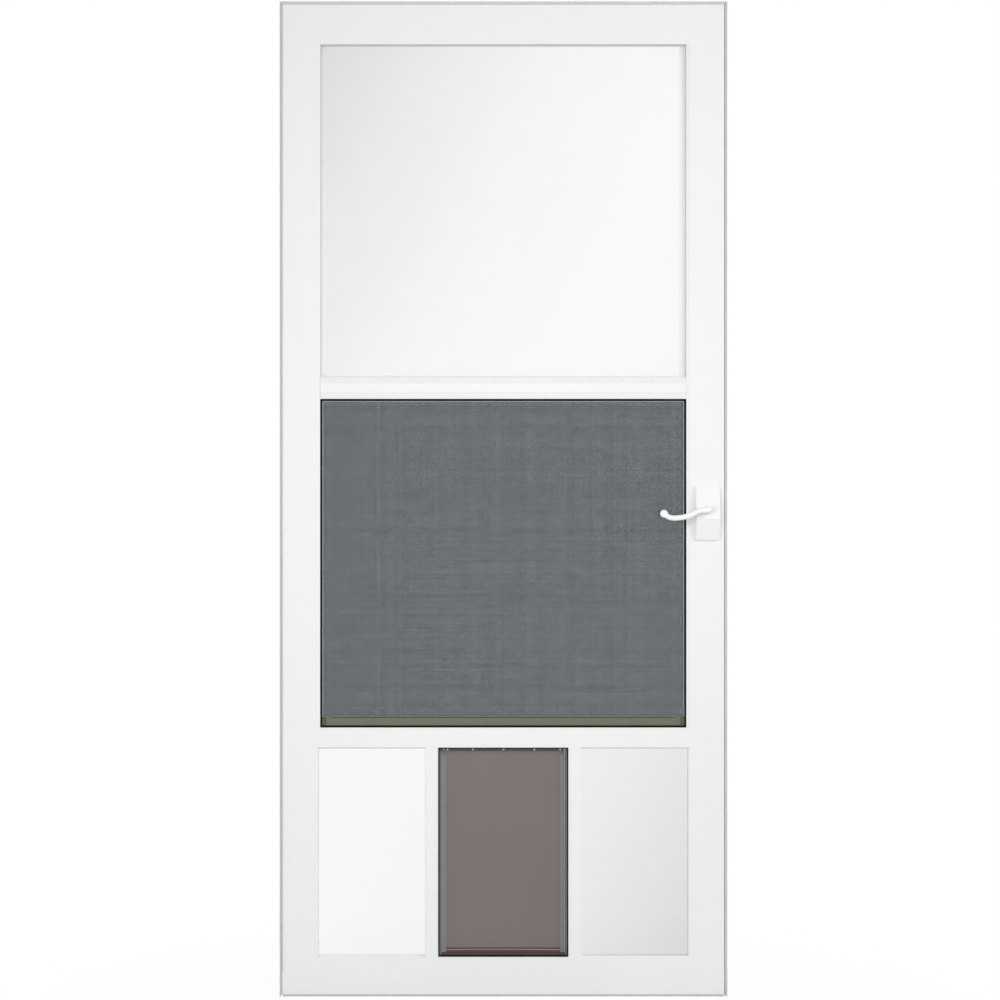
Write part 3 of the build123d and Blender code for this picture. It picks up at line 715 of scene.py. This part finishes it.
# %% World
world = bpy.data.worlds.new("studio_world")
bpy.context.scene.world = world
world.use_nodes = True
tree = world.node_tree
tree.nodes.clear()
link = tree.links.new
path = add(tree, "LightPath")
seen_or_through = add(tree, "Math", operation="MAXIMUM")
link(path.outputs["Is Camera Ray"], seen_or_through.inputs[0])
link(path.outputs["Is Transmission Ray"], seen_or_through.inputs[1])
seen = add(tree, "Math", operation="MAXIMUM")
link(seen_or_through.outputs["Value"], seen.inputs[0])
link(path.outputs["Is Glossy Ray"], seen.inputs[1])
shed = add(tree, "Background", Strength=0.45)
shed.inputs["Color"].default_value = (0.96, 0.98, 1.0, 1)
shown = add(tree, "Background", Strength=1.0)
shown.inputs["Color"].default_value = (1, 1, 1, 1)
choose = add(tree, "MixShader")
link(seen.outputs["Value"], choose.inputs["Fac"])
link(shed.outputs["Background"], choose.inputs[1])
link(shown.outputs["Background"], choose.inputs[2])
world_output = add(tree, "OutputWorld")
link(choose.outputs["Shader"], world_output.inputs["Surface"])

# %% Floor
floor_mesh = bmesh.new()
bmesh.ops.create_circle(floor_mesh, cap_ends=True, segments=96, radius=2.4)
floor_data = bpy.data.meshes.new("studio_floor")
floor_mesh.to_mesh(floor_data)
floor_mesh.free()
floor = bpy.data.objects.new("studio_floor", floor_data)
floor.location = (0.457, 0.02, -0.0005)
bpy.context.scene.collection.objects.link(floor)
floor.visible_glossy = False

fade_from, fade_to = 0.45, 1.3
floor_finish, tree, shader = new_finish("pale_studio_floor", Roughness=0.9)
shader.inputs["Base Color"].default_value = (0.8, 0.8, 0.8, 1)
link = tree.links.new
place = add(tree, "TexCoord")
reach = add(tree, "VectorMath", operation="LENGTH")
link(place.outputs["Object"], reach.inputs[0])
fade = add(tree, "MapRange", interpolation_type="SMOOTHSTEP")
fade.inputs["From Min"].default_value = fade_from
fade.inputs["From Max"].default_value = fade_to
fade.inputs["To Min"].default_value = 1.0
fade.inputs["To Max"].default_value = 0.0
link(reach.outputs["Value"], fade.inputs["Value"])
gone = add(tree, "BsdfTransparent")
blend_out = add(tree, "MixShader")
link(fade.outputs["Result"], blend_out.inputs["Fac"])
link(gone.outputs["BSDF"], blend_out.inputs[1])
whiteness = add(tree, "Emission", Strength=1.0)
whiteness.inputs["Color"].default_value = (1, 1, 1, 1)
floor_path = add(tree, "LightPath")
seen_share = add(tree, "Math", operation="MULTIPLY")
seen_share.inputs[1].default_value = 0.94
link(floor_path.outputs["Is Camera Ray"], seen_share.inputs[0])
brighten = add(tree, "MixShader")
link(seen_share.outputs["Value"], brighten.inputs["Fac"])
link(shader.outputs["BSDF"], brighten.inputs[1])
link(whiteness.outputs["Emission"], brighten.inputs[2])
link(brighten.outputs["Shader"], blend_out.inputs[2])
output = next(n for n in tree.nodes if n.bl_idname == "ShaderNodeOutputMaterial")
link(blend_out.outputs["Shader"], output.inputs["Surface"])
floor_data.materials.append(floor_finish)
print("floor: faded out from", fade_from, "to", fade_to, "m")

# %% [markdown]
# ## What the glass reflects
#
# Clear glass shows mostly what stands behind it, plus a faint picture of what stands before
# it. In a studio that is a white wall and soft boxes, and it gives each pane its slanting
# sheen. A large card behind the camera plays that wall. It glows in slanting bands, a
# brighter one between darker ones, and only glossy rays see it, so it sheds no light on the
# door and casts no shadow. Painting the sheen on the panes would be wrong from any other side.

# %% Sheen card
card_y = -6.5
card_half_w, card_half_h = 1.5, 2.6
camera_x, camera_y, camera_z = 0.45, -5.668, 1.014
card_scale = 1 + card_y / camera_y
card_mesh = bmesh.new()
bmesh.ops.create_grid(card_mesh, x_segments=1, y_segments=1, size=1.0)
for vert in card_mesh.verts:
    vert.co = Vector((vert.co.x * card_half_w, 0, vert.co.y * card_half_h))
card_data = bpy.data.meshes.new("sheen_card")
card_mesh.to_mesh(card_data)
card_mesh.free()
card = bpy.data.objects.new("sheen_card", card_data)
card.location = (camera_x, card_y, camera_z)
bpy.context.scene.collection.objects.link(card)
for ray in ("camera", "diffuse", "transmission", "volume_scatter", "shadow"):
    setattr(card, "visible_" + ray, False)

card_finish = bpy.data.materials.new("slanting_glow")
card_finish.use_nodes = True
tree = card_finish.node_tree
tree.nodes.clear()
link = tree.links.new
place = add(tree, "TexCoord")
axes = add(tree, "SeparateXYZ")
link(place.outputs["Object"], axes.inputs["Vector"])
lean = math.tan(math.radians(30))
rise = add(tree, "Math", operation="MULTIPLY")
rise.inputs[1].default_value = lean
link(axes.outputs["Z"], rise.inputs[0])
slant = add(tree, "Math", operation="SUBTRACT")
link(axes.outputs["X"], slant.inputs[0])
link(rise.outputs["Value"], slant.inputs[1])
bands = ((-1.15, 0.08), (-0.99, 0.26), (-0.81, 0.56), (-0.69, 0.68), (-0.57, 0.84), (-0.45, 0.94),
         (-0.3, 0.99), (-0.22, 1.04), (0.0, 1.04), (0.09, 0.97), (0.22, 0.94), (0.33, 0.74),
         (0.45, 0.64), (0.57, 0.48), (0.66, 0.36), (0.78, 0.16))
first, last = bands[0][0], bands[-1][0]
middle_slant = camera_x - lean * camera_z
band = add(tree, "MapRange")
band.inputs["From Min"].default_value = (first - middle_slant) * card_scale
band.inputs["From Max"].default_value = (last - middle_slant) * card_scale
link(slant.outputs["Value"], band.inputs["Value"])
ramp = add(tree, "ValToRGB")
stops = ramp.color_ramp.elements
for i, (at, glow) in enumerate(bands):
    stop = stops[i] if i < 2 else stops.new(1.0)
    stop.position = (at - first) / (last - first)
    stop.color = (glow, glow, glow, 1)
link(band.outputs["Result"], ramp.inputs["Fac"])
glow = add(tree, "Emission", Strength=2.15)
link(ramp.outputs["Color"], glow.inputs["Color"])
output = add(tree, "OutputMaterial")
link(glow.outputs["Emission"], output.inputs["Surface"])
card_data.materials.append(card_finish)
print("sheen card:", len(bands), "bands from", first, "to", last, "m, scale", round(card_scale, 3))

# %% [markdown]
# ## Light
#
# Catalogue light: a soft box high on the right gives the faint shadows under each ledge, and
# one far out on the right, at a lower angle, the wider one to the left of the handle. A soft
# box on the left keeps them open, one straight in front lights the middle more than the head
# and the foot, one behind lights the back for the other views, and the world fills the rest.
# The powers are fitted to the photograph.

# %% Lamps
def soft_box(name, place, target, size, watts):
    """A rectangular area lamp at a place, turned to a target."""
    lamp = bpy.data.lights.new(name, "AREA")
    lamp.shape = "RECTANGLE"
    lamp.size, lamp.size_y = size
    lamp.energy = watts
    holder = bpy.data.objects.new(name, lamp)
    holder.location = place
    holder.rotation_euler = (Vector(target) - Vector(place)).to_track_quat("-Z", "Y").to_euler()
    bpy.context.scene.collection.objects.link(holder)
    return holder


key = soft_box("key_soft_box", (2.6, -3.3, 2.7), (0.5, 0.0, 1.1), (1.2, 1.2), 35)
fill = soft_box("fill_soft_box", (-1.4, -4.2, 0.9), (0.4, 0.0, 1.0), (2.0, 2.4), 26)
back = soft_box("back_soft_box", (0.6, 3.6, 2.6), (0.5, 0.0, 1.0), (2.4, 2.0), 88)
front = soft_box("front_soft_box", (0.35, -1.75, 1.15), (0.4, 0.0, 1.15), (0.8, 0.8), 8.6)
side = soft_box("side_soft_box", (3.6, -2.4, 1.6), (0.6, 0.0, 1.1), (1.1, 1.1), 13)
for lamp in (key, fill, back, front, side):
    lamp.visible_glossy = False
    lamp.visible_camera = False
    lamp.visible_transmission = False
print("lamps:", [lamp.name for lamp in (key, fill, back, front, side)])

# %% [markdown]
# ## Camera
#
# The photograph looks at the door straight on, from about half its height and far enough away
# that nothing converges. A 100 mm lens on a 36 mm sensor covers 2.04 m at 5.67 m.

# %% Camera
lens = bpy.data.cameras.new("catalogue_camera")
lens.lens = 100
lens.sensor_width = 36
lens.clip_end = 50
camera = bpy.data.objects.new("catalogue_camera", lens)
view_w = 2.0405
camera.location = (0.4498, -view_w * lens.lens / lens.sensor_width, 1.0142)
camera.rotation_euler = (math.pi / 2, 0, 0)
bpy.context.scene.collection.objects.link(camera)
bpy.context.scene.camera = camera
bpy.context.scene.view_settings.view_transform = "Standard"
print("camera at", [round(v, 3) for v in camera.location])
